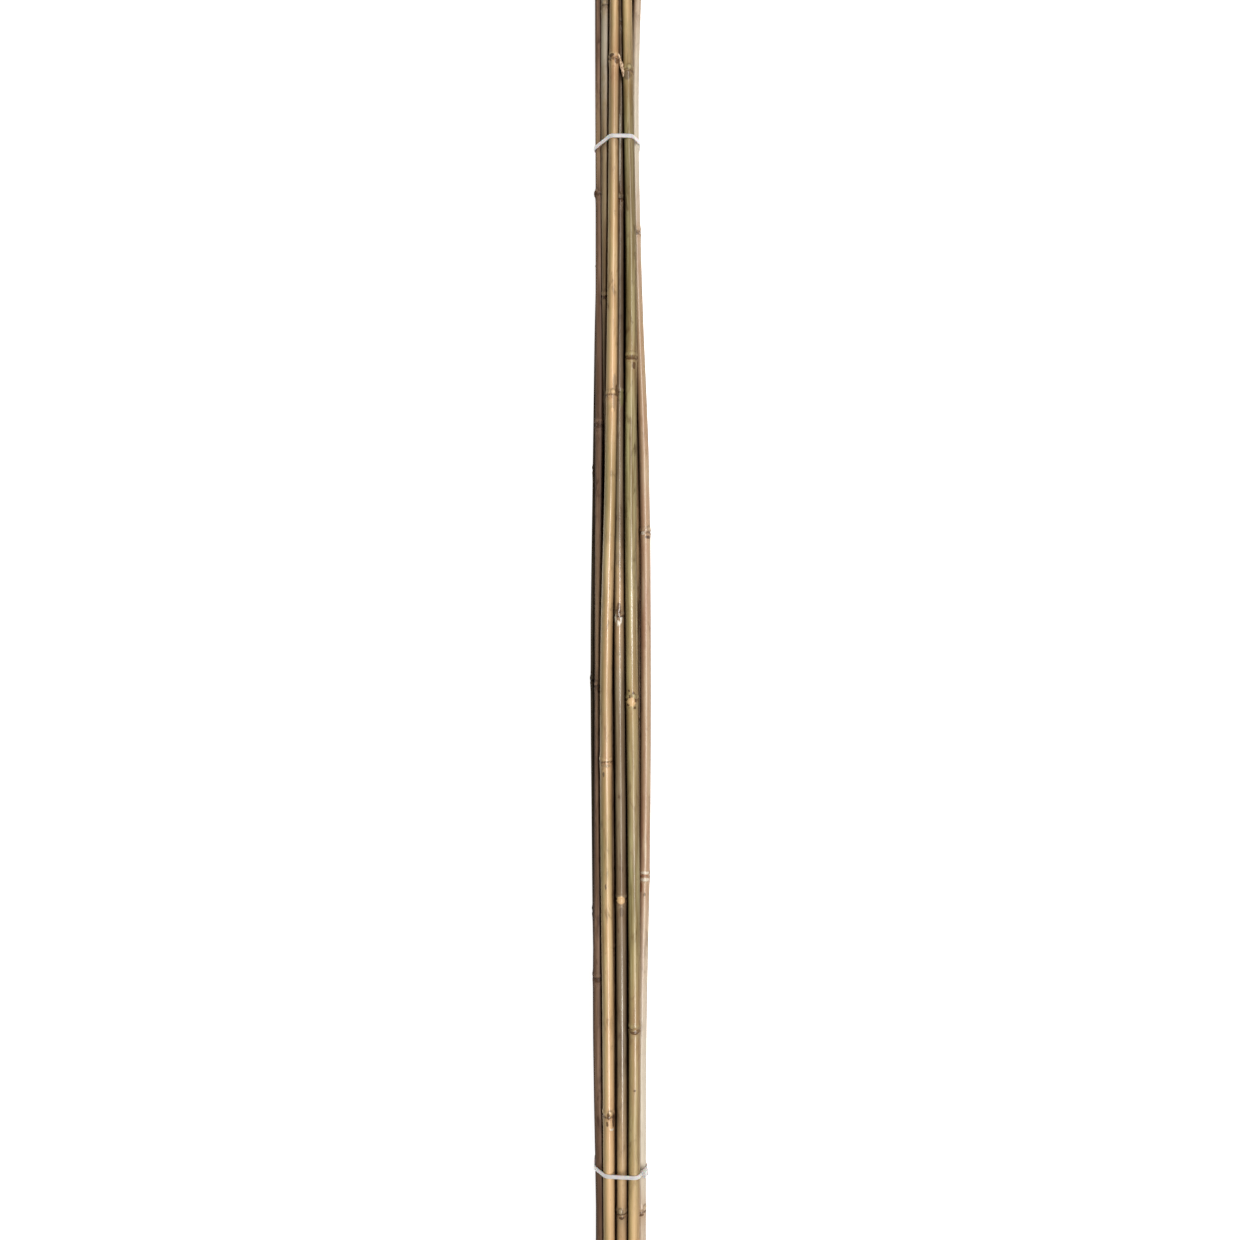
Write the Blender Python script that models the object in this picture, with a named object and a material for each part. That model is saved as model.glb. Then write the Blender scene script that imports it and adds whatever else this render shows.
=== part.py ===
# A bundle of eleven bamboo canes held by two cable ties. It lies along Y on the underside of its
# ties, which is Z = 0. The butts, the thick ends, point towards -Y and the tips towards +Y.
# Sizes are in millimetres until a mesh is made, which is in metres.

import math

import bmesh
import bpy
import numpy as np

for old in list(bpy.data.objects):
    bpy.data.objects.remove(old, do_unlink=True)

METRE = 0.001

# Canes
CANE_LENGTH = 1500.0
CANE_SIDES = 12
BEND_STEP = 60.0  # between the rings that follow a cane's bends
TIP_STAGGER = 9.0  # how unevenly the tips end
BUTT_STAGGER = 4.0
ZIGZAG = 0.4  # how far a cane steps sideways at each of its nodes
BORE_DEPTH = 14.0
BORE_SHARE = 0.36  # of the outer diameter, at the butt
CHAMFER = 0.35

# One node: places along the cane, tipward of the old leaf sheath's scar, and the swelling there
NODE_PROFILE = ((-9.0, 1.0), (0.0, 1.12), (1.9, 1.045), (4.4, 1.10), (11.0, 1.0))
GROOVE = 2  # the ring of the profile from which a bud's stub grows
NODE_REACH = 12.0
STUB_RISE = 0.8
STUB_LEAN = 2.6
STUB_TAPER = 0.62

# How the canes lie together
NEIGHBOUR_GAP = 0.55
FLOOR_GAP = 0.5
STATION_STEP = 10.0
SETTLE_ROUNDS = 900
CLEAR_ROUNDS = 900
STIFFNESS_PASSES = 14
GRIP_REACH = 130.0  # how far from a tie its squeeze is felt
SQUEEZE = 0.012

# Cable ties
TIE_PLACE = 522.0  # of both ties, towards either end
TIE_WIDTH = 3.8
TIE_THICKNESS = 1.2
TIE_GAP = 0.3
HEAD_LONG = 7.4
HEAD_WIDE = 6.8
HEAD_TALL = 5.0
HEAD_SINK = 0.9  # of the head into the strap
ARC_STEP = math.radians(14.0)
TIES = {"cable_tie_tip": (TIE_PLACE, -45.0), "cable_tie_butt": (-TIE_PLACE, 30.0)}

# Each cane: its middle across the bundle and above the floor at stations that are evenly spaced
# from butt to tip, its width at butt, middle and tip, its nodes along Y, the direction of its first
# bud in degrees from +X, how firmly it keeps its place, whether it lies on the strap at the butt and
# at the tip, and its colour and roughness.
CANES = {
    "cane_top_1": {
        "across": (-10.4, -11.0, -12.0, -13.8, -13.9, -9.3, -7.2, -6.4, -4.9),
        "above": (30.0, 30.0, 30.5, 31.5, 33.0, 35.0, 34.6, 32.6, 31.5),
        "width": (11.2, 12.0, 9.0),
        "nodes": (-465.0, -108.0, 260.0, 600.0),
        "bud": 75.0,
        "hold": 0.8,
        "rests": (False, False),
        "colour": (0.52, 0.33, 0.15),
        "roughness": 0.42,
    },
    "cane_top_2": {
        "across": (-1.5, -1.2, -1.4, -2.4, -4.2, -4.0, -3.3, -1.8, -1.2),
        "above": (27.5, 27.5, 27.5, 28.0, 27.5, 25.0, 23.5, 23.5, 23.5),
        "width": (11.0, 10.8, 7.6),
        "nodes": (-565.0, -247.0, 39.0, 265.0, 462.0, 640.0),
        "bud": 100.0,
        "hold": 1.0,
        "rests": (False, False),
        "colour": (0.30, 0.21, 0.12),
        "roughness": 0.5,
    },
    "cane_top_3": {
        "across": (12.6, 13.2, 13.9, 12.9, 11.2, 9.7, 10.3, 7.4, 4.5),
        "above": (33.0, 33.0, 33.5, 34.0, 34.0, 34.0, 34.0, 32.5, 32.0),
        "width": (11.3, 12.3, 9.7),
        "nodes": (-693.0, -376.0, -45.0, 299.0, 587.0),
        "bud": 60.0,
        "hold": 0.8,
        "rests": (False, False),
        "colour": (0.34, 0.29, 0.13),
        "roughness": 0.38,
    },
    "cane_top_4": {
        "across": (18.4, 18.8, 19.0, 22.3, 23.4, 22.1, 14.9, 12.0, 18.0),
        "above": (22.0, 22.5, 24.5, 26.0, 26.5, 26.3, 26.0, 25.0, 25.0),
        "width": (10.8, 11.2, 7.8),
        "nodes": (-567.0, -225.0, 124.0, 429.0, 700.0),
        "bud": 50.0,
        "hold": 0.8,
        "rests": (False, False),
        "colour": (0.44, 0.26, 0.15),
        "roughness": 0.45,
    },
    "cane_middle_1": {
        "across": (-17.5, -19.2, -21.9, -20.8, -20.1, -19.6, -19.2, -20.0, -20.2),
        "above": (21.0, 21.0, 20.5, 20.5, 20.0, 16.0, 15.8, 14.0, 13.8),
        "width": (10.6, 10.4, 7.9),
        "nodes": (-655.0, -330.0, -33.0, 235.0, 472.0, 690.0),
        "bud": 130.0,
        "hold": 0.8,
        "rests": (False, False),
        "colour": (0.22, 0.16, 0.11),
        "roughness": 0.6,
    },
    "cane_middle_2": {
        "across": (-7.0, -7.5, -8.5, -9.5, -8.8, -11.5, -14.8, -16.3, -16.6),
        "above": (18.6, 18.6, 18.8, 19.3, 19.4, 21.6, 23.2, 22.6, 21.6),
        "width": (11.2, 11.2, 8.4),
        "nodes": (-620.0, -300.0, 40.0, 364.0, 660.0),
        "bud": 110.0,
        "hold": 0.7,
        "rests": (False, False),
        "colour": (0.40, 0.32, 0.17),
        "roughness": 0.5,
    },
    "cane_middle_3": {
        "across": (9.4, 9.4, 11.0, 13.8, 15.4, 15.7, 10.6, 4.2, 3.6),
        "above": (17.5, 17.5, 17.5, 17.5, 17.5, 17.5, 16.8, 16.6, 16.4),
        "width": (10.8, 10.8, 8.0),
        "nodes": (-665.0, -345.0, -70.0, 245.0, 425.0, 625.0),
        "bud": -10.0,
        "hold": 0.5,
        "rests": (False, False),
        "colour": (0.32, 0.22, 0.14),
        "roughness": 0.55,
    },
    "cane_bottom_1": {
        "across": (-18.6, -18.6, -20.4, -23.0, -25.2, -22.8, -21.2, -15.8, -15.2),
        "above": (7.5, 7.5, 8.5, 9.0, 9.0, 8.5, 7.5, 6.5, 6.5),
        "width": (10.8, 10.6, 8.0),
        "nodes": (-501.0, -268.0, -28.0, 190.0, 400.0, 650.0),
        "bud": 190.0,
        "hold": 0.8,
        "rests": (True, True),
        "colour": (0.13, 0.10, 0.06),
        "roughness": 0.6,
    },
    "cane_bottom_2": {
        "across": (-7.8, -7.8, -9.3, -12.0, -13.6, -11.8, -8.6, -5.4, -5.2),
        "above": (7.0, 7.0, 6.8, 6.6, 6.5, 6.3, 6.0, 6.0, 6.0),
        "width": (11.4, 11.6, 8.6),
        "nodes": (-655.0, -290.0, 60.0, 380.0, 690.0),
        "bud": 250.0,
        "hold": 0.7,
        "rests": (False, True),
        "colour": (0.46, 0.32, 0.16),
        "roughness": 0.5,
    },
    "cane_bottom_3": {
        "across": (3.7, 3.7, 2.3, -0.3, -1.8, -1.4, 1.4, 4.6, 4.8),
        "above": (7.0, 7.0, 6.8, 6.6, 6.5, 6.3, 7.0, 9.8, 9.4),
        "width": (11.4, 11.4, 8.2),
        "nodes": (-650.0, -345.0, -30.0, 285.0, 630.0),
        "bud": 285.0,
        "hold": 0.8,
        "rests": (True, False),
        "colour": (0.36, 0.30, 0.15),
        "roughness": 0.5,
    },
    "cane_bottom_4": {
        "across": (15.2, 15.2, 13.9, 11.4, 10.0, 9.8, 10.4, 11.2, 11.4),
        "above": (7.0, 7.0, 7.0, 7.0, 7.0, 6.8, 10.0, 17.4, 17.0),
        "width": (11.0, 11.2, 8.0),
        "nodes": (-620.0, -300.0, 30.0, 345.0, 660.0),
        "bud": 320.0,
        "hold": 0.8,
        "rests": (True, False),
        "colour": (0.44, 0.28, 0.15),
        "roughness": 0.5,
    },
}
TIE_COLOUR = (0.80, 0.79, 0.78)
TIE_ROUGHNESS = 0.35

STATIONS = np.arange(-CANE_LENGTH / 2, CANE_LENGTH / 2 + 1.0, STATION_STEP)


def smooth_through(values, places):
    # A smooth curve through values that are evenly spaced from butt to tip
    values = np.array(values)
    knots = np.linspace(-CANE_LENGTH / 2, CANE_LENGTH / 2, len(values))
    slopes = np.gradient(values, knots)
    before = np.clip(np.searchsorted(knots, places) - 1, 0, len(knots) - 2)
    span = knots[1] - knots[0]
    t = (places - knots[before]) / span
    rise = values[before + 1] - values[before]
    lead = span * slopes[before] - rise
    tail = rise - span * slopes[before + 1]
    bend = t * (1 - t) * (lead * (1 - t) + tail * t)
    return values[before] + t * rise + bend


def plain_radius(cane, places):
    # The cane's radius between its nodes, which tapers most towards the tip
    return smooth_through(cane["width"], places) / 2


def widest_radius(cane, places):
    # The radius that a neighbour has to clear, with the nodes' swellings and stubs
    radius = plain_radius(cane, places)
    swelling = max(scale for _, scale in NODE_PROFILE)
    for node in cane["nodes"]:
        at_node = np.abs(places - node) < NODE_REACH
        radius = np.where(at_node, radius * swelling, radius)
    return radius


def zigzag(cane, places):
    # Bamboo steps a little to either side from node to node, in the plane of its buds
    nodes = np.array((-CANE_LENGTH / 2, *cane["nodes"], CANE_LENGTH / 2))
    steps = ZIGZAG * (-1.0) ** np.arange(len(nodes))
    side = np.interp(places, nodes, steps)
    turn = math.radians(cane["bud"])
    return np.stack((side * math.cos(turn), side * math.sin(turn)), axis=-1)


def grips():
    # How strongly the tie at the butt, and the one at the tip, is felt at each station
    return [np.exp(-(((STATIONS - place) / GRIP_REACH) ** 2)) for place in (-TIE_PLACE, TIE_PLACE)]


def floor_height():
    # The lowest point allowed: above the straps at the ties, and a little above the floor elsewhere
    strap = TIE_THICKNESS + TIE_GAP
    return FLOOR_GAP + (strap - FLOOR_GAP) * sum(grips())


def pushes(places, radii, weights, seated):
    # How far neighbours, and the floor, move each cane so that nothing overlaps
    first, second = np.triu_indices(len(places), 1)
    apart = places[second] - places[first]
    distance = np.maximum(np.linalg.norm(apart, axis=2), 1e-6)
    short = np.maximum(radii[first] + radii[second] + NEIGHBOUR_GAP - distance, 0.0)
    push = apart * (short / distance)[..., None]
    share = (weights[first] / (weights[first] + weights[second]))[:, None, None]
    moved = np.zeros_like(places)
    np.add.at(moved, first, -push * share)
    np.add.at(moved, second, push * (1 - share))
    lift = floor_height() + radii - places[..., 1]
    moved[..., 1] += np.where(lift > 0, lift, lift * seated)
    return moved


def stiffen(shift):
    # A cane is stiff, so a push at one station is shared with the stations near it
    for _ in range(STIFFNESS_PASSES):
        ends = np.concatenate((shift[:, :1], shift, shift[:, -1:]), axis=1)
        shift = 0.5 * shift + 0.25 * (ends[:, :-2] + ends[:, 2:])
    return shift


def settle():
    # The middle line of every cane, at each station, once the bundle is tied
    canes = list(CANES.values())
    wanted = np.array(
        [
            np.stack((smooth_through(c["across"], STATIONS), smooth_through(c["above"], STATIONS)), axis=-1)
            + zigzag(c, STATIONS)
            for c in canes
        ]
    )
    radii = np.array([widest_radius(c, STATIONS) for c in canes])
    hold = np.array([c["hold"] for c in canes])
    seated = np.array([c["rests"] for c in canes], dtype=float) @ np.array(grips())
    weights = 1.0 - 0.94 * hold
    back = (0.001 + 0.08 * hold)[:, None, None] * np.array((1.0, 0.15))
    squeeze = SQUEEZE * sum(grips())[None, :, None] * weights[:, None, None]
    shift = np.zeros_like(wanted)
    for _ in range(SETTLE_ROUNDS):
        places = wanted + shift
        middle = places.mean(axis=0, keepdims=True)
        shift = shift + 0.6 * pushes(places, radii, weights, seated) + squeeze * (middle - places)
        shift = stiffen(shift) * (1 - back)
    for _ in range(CLEAR_ROUNDS):
        shift = stiffen(shift + 0.6 * pushes(wanted + shift, radii, 1.0 - 0.8 * hold, seated))
    places = wanted + shift
    places[..., 1] += (floor_height() + radii - places[..., 1]) * seated
    return dict(zip(CANES, places))


def middle_at(path, places):
    # A cane's middle, read from its settled stations
    across = np.interp(places, STATIONS, path[:, 0])
    above = np.interp(places, STATIONS, path[:, 1])
    return np.stack((across, above), axis=-1)


def uneven_ends(index):
    # The ends of the cane lie a little short of the bundle's, each by another amount
    tip = CANE_LENGTH / 2 - TIP_STAGGER * ((index * 0.618) % 1.0)
    butt = -CANE_LENGTH / 2 + BUTT_STAGGER * ((index * 0.382) % 1.0)
    return butt, tip


def cane_rings(cane, butt, tip):
    # Places along the cane that carry a ring, with the swelling of each and the grooves' indices
    rings = [(butt, 1.0 - 2 * CHAMFER / cane["width"][0]), (butt + CHAMFER, 1.0)]
    bends = np.arange(butt + BEND_STEP, tip - BEND_STEP / 2, BEND_STEP)
    for node in cane["nodes"]:
        bends = bends[np.abs(bends - node) > BEND_STEP / 2]
        rings += [(node + along, scale) for along, scale in NODE_PROFILE]
    rings += [(place, 1.0) for place in bends]
    rings += [(tip - CHAMFER, 1.0), (tip, 1.0 - 2 * CHAMFER / cane["width"][-1])]
    rings.sort()
    along, scale = NODE_PROFILE[GROOVE]
    grooves = [rings.index((node + along, scale)) for node in cane["nodes"]]
    return np.array(rings), grooves


def ring_points(middle, place, radius):
    for side in range(CANE_SIDES):
        turn = 2 * math.pi * side / CANE_SIDES
        across = middle[0] + radius * math.cos(turn)
        above = middle[1] + radius * math.sin(turn)
        yield across * METRE, place * METRE, above * METRE


def bridge(bm, first, second):
    # Quads from one ring of vertices to the next, tipward, facing away from the cane
    faces = []
    for side, (a, b) in enumerate(zip(first, second)):
        after = (side + 1) % len(first)
        faces.append(bm.faces.new((first[after], a, b, second[after])))
    return faces


def raise_stub(bm, face, middle):
    # The stump of a trimmed branch: one face drawn out from the groove and towards the tip
    stub = bmesh.ops.extrude_discrete_faces(bm, faces=[face])["faces"][0]
    centre = stub.calc_center_median()
    outward = (centre.x - middle[0] * METRE, centre.z - middle[1] * METRE)
    length = math.hypot(*outward)
    for vert in stub.verts:
        vert.co = centre + (vert.co - centre) * STUB_TAPER
        vert.co.x += outward[0] / length * STUB_RISE * METRE
        vert.co.z += outward[1] / length * STUB_RISE * METRE
        vert.co.y += STUB_LEAN * METRE


def cane_mesh(cane, path, index):
    bm = bmesh.new()
    butt, tip = uneven_ends(index)
    rings, grooves = cane_rings(cane, butt, tip)
    middles = middle_at(path, rings[:, 0])
    radii = plain_radius(cane, rings[:, 0]) * rings[:, 1]
    loops = []
    for (place, _), middle, radius in zip(rings, middles, radii):
        loops.append([bm.verts.new(point) for point in ring_points(middle, place, radius)])
    walls = [bridge(bm, first, second) for first, second in zip(loops, loops[1:])]
    bm.faces.new(list(reversed(loops[-1])))

    # The butt is cut open down to the first partition inside the cane
    bore_radius = cane["width"][0] * BORE_SHARE / 2
    mouth = [bm.verts.new(point) for point in ring_points(middles[0], butt, bore_radius)]
    floor_middle = middle_at(path, np.array([butt + BORE_DEPTH]))[0]
    bottom = [bm.verts.new(point) for point in ring_points(floor_middle, butt + BORE_DEPTH, bore_radius)]
    bridge(bm, mouth, loops[0])
    bridge(bm, bottom, mouth)
    bm.faces.new(bottom)

    # Buds grow on alternate sides from one node to the next
    for count, groove in enumerate(grooves):
        turn = cane["bud"] + 180.0 * count
        side = int(turn // (360.0 / CANE_SIDES)) % CANE_SIDES
        raise_stub(bm, walls[groove][side], middles[groove])
    bmesh.ops.recalc_face_normals(bm, faces=bm.faces)
    return bm


def wrap(circles):
    # The tight outline round some circles, counterclockwise: (middle, radius, direction) of points
    # on them, with the exact ends of every straight run between two circles
    turns = np.radians(np.arange(-180.0, 180.0, 0.5))
    outward = np.stack((np.cos(turns), np.sin(turns)))
    middles = np.array([middle for middle, _ in circles])
    radii = np.array([radius for _, radius in circles])
    touched = np.argmax(middles @ outward + radii[:, None], axis=0)
    arcs = []
    for step, circle in enumerate(touched):
        previous = touched[step - 1]
        if circle == previous:
            continue
        apart = middles[circle] - middles[previous]
        lean = math.acos((radii[previous] - radii[circle]) / np.linalg.norm(apart))
        arcs.append((circle, math.atan2(apart[1], apart[0]) - lean))
    outline = []
    for (circle, start), (_, end) in zip(arcs, arcs[1:] + arcs[:1]):
        sweep = (end - start) % (2 * math.pi)
        count = max(1, math.ceil(sweep / ARC_STEP))
        for step in range(count + 1):
            outline.append((middles[circle], radii[circle], start + sweep * step / count))
    return outline


def outline_point(middle, radius, turn, outwards):
    reach = radius + outwards
    return middle[0] + reach * math.cos(turn), middle[1] + reach * math.sin(turn)


def strap_mesh(outline, place):
    # The strap's section is a rectangle, carried round the outline
    bm = bmesh.new()
    sections = []
    for middle, radius, turn in outline:
        inner = outline_point(middle, radius, turn, TIE_GAP)
        outer = outline_point(middle, radius, turn, TIE_GAP + TIE_THICKNESS)
        corners = ((inner, -1), (outer, -1), (outer, 1), (inner, 1))
        section = []
        for (across, above), edge in corners:
            along = place + edge * TIE_WIDTH / 2
            section.append(bm.verts.new((across * METRE, along * METRE, above * METRE)))
        sections.append(section)
    for first, second in zip(sections, sections[1:] + sections[:1]):
        for corner in range(4):
            after = (corner + 1) % 4
            bm.faces.new((first[corner], first[after], second[after], second[corner]))
    bmesh.ops.recalc_face_normals(bm, faces=bm.faces)
    return bm


def straight_runs(outline):
    # The middle of each run between two circles, and the direction in which the run faces
    for (middle, radius, turn), (next_middle, next_radius, _) in zip(outline, outline[1:] + outline[:1]):
        if not np.array_equal(middle, next_middle):
            start = np.array(outline_point(middle, radius, turn, 0.0))
            end = np.array(outline_point(next_middle, next_radius, turn, 0.0))
            yield (start + end) / 2, turn


def head_mesh(outline, place, direction):
    # A block that stands on the straight run of strap that faces most nearly the given direction
    aim = math.radians(direction)
    foot, turn = max(straight_runs(outline), key=lambda run: math.cos(run[1] - aim))
    centre = outline_point(foot, TIE_GAP + TIE_THICKNESS - HEAD_SINK, turn, HEAD_TALL / 2)
    bm = bmesh.new()
    block = bmesh.ops.create_cube(bm, size=1.0)["verts"]
    for vert in block:
        out, along_strap, wide = vert.co.x * HEAD_TALL, vert.co.y * HEAD_LONG, vert.co.z * HEAD_WIDE
        across = centre[0] + out * math.cos(turn) - along_strap * math.sin(turn)
        above = centre[1] + out * math.sin(turn) + along_strap * math.cos(turn)
        vert.co = (across * METRE, (place + wide) * METRE, above * METRE)
    bmesh.ops.recalc_face_normals(bm, faces=bm.faces)
    return bm


def material(name, colour, roughness):
    made = bpy.data.materials.new(name)
    made.use_nodes = True
    surface = made.node_tree.nodes["Principled BSDF"]
    surface.inputs["Base Color"].default_value = (*colour, 1.0)
    surface.inputs["Roughness"].default_value = roughness
    surface.inputs["Metallic"].default_value = 0.0
    return made


def add_object(name, bm, finish):
    mesh = bpy.data.meshes.new(name)
    bm.to_mesh(mesh)
    bm.free()
    mesh.materials.append(finish)
    made = bpy.data.objects.new(name, mesh)
    bpy.context.scene.collection.objects.link(made)
    return made


def smooth_shade(made, degrees):
    made.data.shade_smooth()
    made.data.set_sharp_from_angle(angle=math.radians(degrees))


def add_canes(paths):
    for index, (name, cane) in enumerate(CANES.items()):
        finish = material(name, cane["colour"], cane["roughness"])
        made = add_object(name, cane_mesh(cane, paths[name], index), finish)
        smooth_shade(made, 40.0)


def add_ties(paths):
    finish = material("cable_tie", TIE_COLOUR, TIE_ROUGHNESS)
    for name, (place, direction) in TIES.items():
        here = np.array([place])
        circles = [(middle_at(paths[c], here)[0], plain_radius(CANES[c], here)[0]) for c in CANES]
        outline = wrap(circles)
        strap = add_object(name, strap_mesh(outline, place), finish)
        head = add_object(name + "_head", head_mesh(outline, place, direction), finish)
        join = strap.modifiers.new("head", "BOOLEAN")
        join.operation = "UNION"
        join.object = head
        bpy.context.view_layer.objects.active = strap
        bpy.ops.object.modifier_apply(modifier=join.name)
        bpy.data.objects.remove(head, do_unlink=True)
        smooth_shade(strap, 30.0)


def centre_everything():
    # The box's middle goes to X = 0 and Y = 0, and its underside to Z = 0
    meshes = [made.data for made in bpy.context.scene.objects if made.type == "MESH"]
    points = np.concatenate([[vert.co[:] for vert in mesh.vertices] for mesh in meshes])
    low, high = points.min(axis=0), points.max(axis=0)
    shift = (-(low[0] + high[0]) / 2, -(low[1] + high[1]) / 2, -low[2])
    for mesh in meshes:
        for vert in mesh.vertices:
            vert.co.x += shift[0]
            vert.co.y += shift[1]
            vert.co.z += shift[2]


settled = settle()
add_canes(settled)
add_ties(settled)
centre_everything()
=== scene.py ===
import math

import bpy
import numpy as np
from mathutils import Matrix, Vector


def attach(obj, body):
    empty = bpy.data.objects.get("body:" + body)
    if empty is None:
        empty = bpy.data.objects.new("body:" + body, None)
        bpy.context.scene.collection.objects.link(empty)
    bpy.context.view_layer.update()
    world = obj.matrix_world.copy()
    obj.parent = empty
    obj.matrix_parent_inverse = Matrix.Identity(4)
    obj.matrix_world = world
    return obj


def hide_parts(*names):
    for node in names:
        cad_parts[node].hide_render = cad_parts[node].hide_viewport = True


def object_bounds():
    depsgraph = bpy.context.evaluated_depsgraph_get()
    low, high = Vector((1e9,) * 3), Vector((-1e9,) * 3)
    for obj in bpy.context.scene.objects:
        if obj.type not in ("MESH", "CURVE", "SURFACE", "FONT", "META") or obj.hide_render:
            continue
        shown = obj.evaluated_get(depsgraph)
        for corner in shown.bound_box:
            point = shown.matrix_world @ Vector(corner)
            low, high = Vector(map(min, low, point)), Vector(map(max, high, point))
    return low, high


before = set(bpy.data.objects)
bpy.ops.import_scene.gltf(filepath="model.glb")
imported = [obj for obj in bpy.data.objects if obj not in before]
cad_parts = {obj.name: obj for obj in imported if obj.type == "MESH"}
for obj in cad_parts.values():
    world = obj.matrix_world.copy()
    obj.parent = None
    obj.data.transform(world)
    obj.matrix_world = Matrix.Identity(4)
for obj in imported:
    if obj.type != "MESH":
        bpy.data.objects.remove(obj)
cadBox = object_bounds()
mm = 0.001

# Stage, lights and camera
stageLook = {
    "floorColour": (250, 249, 248),
    "floorSize": 9.0,
    "worldColour": (1.0, 1.0, 1.0),
    "worldStrength": 0.07,
    "backdropStrength": 0.86,  # what the camera sees behind the floor
    "floorGlow": 1.0,
    "floorFade": 6.0,  # mm from the bundle's outline to where the floor's glow has gone
    "cameraAbove": 0.9,  # above the highest canes
    "cameraAlong": 0.037,
    "cameraAcross": 0.0,
    "seenWidth": 1.24,  # at the height of the highest canes
    "lampHeight": 1.75,
    "lampAcross": 0.44,
    "lampSize": (0.24, 3.2),
    "lampPower": 46.0,
    "lampColour": (1.0, 0.985, 0.96),
}


def srgb(colour):
    # A colour given in 0 to 255, as the shaders want it
    shares = [value / 255 for value in colour]
    return tuple(s / 12.92 if s < 0.04045 else ((s + 0.055) / 1.055) ** 2.4 for s in shares)


class Value:
    # A socket in a sum: an expression on these adds the nodes that work it out
    def __init__(self, graph, socket):
        self.graph = graph
        self.socket = socket

    def isVector(self):
        return self.socket.type in ("VECTOR", "RGBA")

    def __add__(self, other):
        return self.graph.sum("ADD", self, other)

    def __sub__(self, other):
        return self.graph.sum("SUBTRACT", self, other)

    def __mul__(self, other):
        return self.graph.sum("MULTIPLY", self, other)

    def __truediv__(self, other):
        return self.graph.sum("DIVIDE", self, other)

    def __pow__(self, other):
        return self.graph.sum("POWER", self, other)

    def __radd__(self, other):
        return self.graph.sum("ADD", other, self)

    def __rsub__(self, other):
        return self.graph.sum("SUBTRACT", other, self)

    def __rmul__(self, other):
        return self.graph.sum("MULTIPLY", other, self)

    def __neg__(self):
        return self.graph.sum("MULTIPLY", self, -1.0)


class Graph:
    # The nodes of one material
    def __init__(self, name):
        self.material = bpy.data.materials.new(name)
        self.material.use_nodes = True
        self.tree = self.material.node_tree
        self.surface = self.tree.nodes["Principled BSDF"]

    def put(self, socket, value):
        if isinstance(value, Value):
            self.tree.links.new(value.socket, socket)
        elif socket.type == "RGBA" and len(value) == 3:
            socket.default_value = (*value, 1.0)
        else:
            socket.default_value = value

    def node(self, kind, settings=None, inputs=None, output=0):
        # Settings first, because some of them change which sockets there are
        made = self.tree.nodes.new("ShaderNode" + kind)
        for name, value in (settings or {}).items():
            if name == "stops":
                self.setStops(made.color_ramp, value)
            else:
                setattr(made, name, value)
        for name, value in (inputs or {}).items():
            self.put(made.inputs[name], value)
        return Value(self, made.outputs[output])

    def setStops(self, ramp, stops):
        while len(ramp.elements) < len(stops):
            ramp.elements.new(0.5)
        for element, (place, colour) in zip(ramp.elements, stops):
            element.position = place
            element.color = (*colour, 1.0)

    def sum(self, operation, first, second):
        vectors = [v.isVector() if isinstance(v, Value) else isinstance(v, tuple) for v in (first, second)]
        if not any(vectors):
            return self.node("Math", {"operation": operation}, {0: first, 1: second})
        both = [v if isVector else self.spread(v) for v, isVector in zip((first, second), vectors)]
        return self.node("VectorMath", {"operation": operation}, {0: both[0], 1: both[1]})

    def spread(self, value):
        # One number on all three channels
        if isinstance(value, Value):
            return self.node("CombineXYZ", inputs={"X": value, "Y": value, "Z": value})
        return (value, value, value)

    def mix(self, share, first, second, blend="MIX"):
        settings = {"data_type": "RGBA", "blend_type": blend, "clamp_factor": True}
        made = self.node("Mix", settings, {0: share, 6: first, 7: second}, output=2)
        return made

    def step(self, value, low, high):
        # 0 below low, 1 above high, and smooth between; low may be the higher one
        settings = {"interpolation_type": "SMOOTHSTEP", "clamp": True}
        if low < high:
            return self.node("MapRange", settings, {"Value": value, "From Min": low, "From Max": high})
        limits = {"Value": value, "From Min": high, "From Max": low, "To Min": 1.0, "To Max": 0.0}
        return self.node("MapRange", settings, limits)

    def noise(self, place, scale, detail=2.0, roughness=0.5, distortion=0.0):
        inputs = {"Vector": place, "Scale": scale, "Detail": detail, "Roughness": roughness}
        inputs["Distortion"] = distortion
        return self.node("TexNoise", {"noise_dimensions": "3D"}, inputs)

    def near(self, value, middle, reach):
        # 1 at middle, falling smoothly to 0 at reach to either side
        away = self.node("Math", {"operation": "ABSOLUTE"}, {0: value - middle})
        return self.step(away, reach, 0.0)

    def kept(self, name, output=2):
        # A value kept in the mesh: its output 2 is a number, 1 a vector
        return self.node("Attribute", {"attribute_type": "GEOMETRY", "attribute_name": name}, output=output)

    def place(self):
        # The surface's place in millimetres
        return self.node("TexCoord", output=3) * 1000.0

    def finish(self, colour, roughness, normal=None, **others):
        self.put(self.surface.inputs["Base Color"], colour)
        self.put(self.surface.inputs["Roughness"], roughness)
        if normal is not None:
            self.put(self.surface.inputs["Normal"], normal)
        for name, value in others.items():
            self.put(self.surface.inputs[name.replace("_", " ")], value)
        return self.material

    def bump(self, height, strength, distance, under=None):
        inputs = {"Height": height, "Strength": strength, "Distance": distance}
        if under is not None:
            inputs["Normal"] = under
        return self.node("Bump", inputs=inputs)


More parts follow.
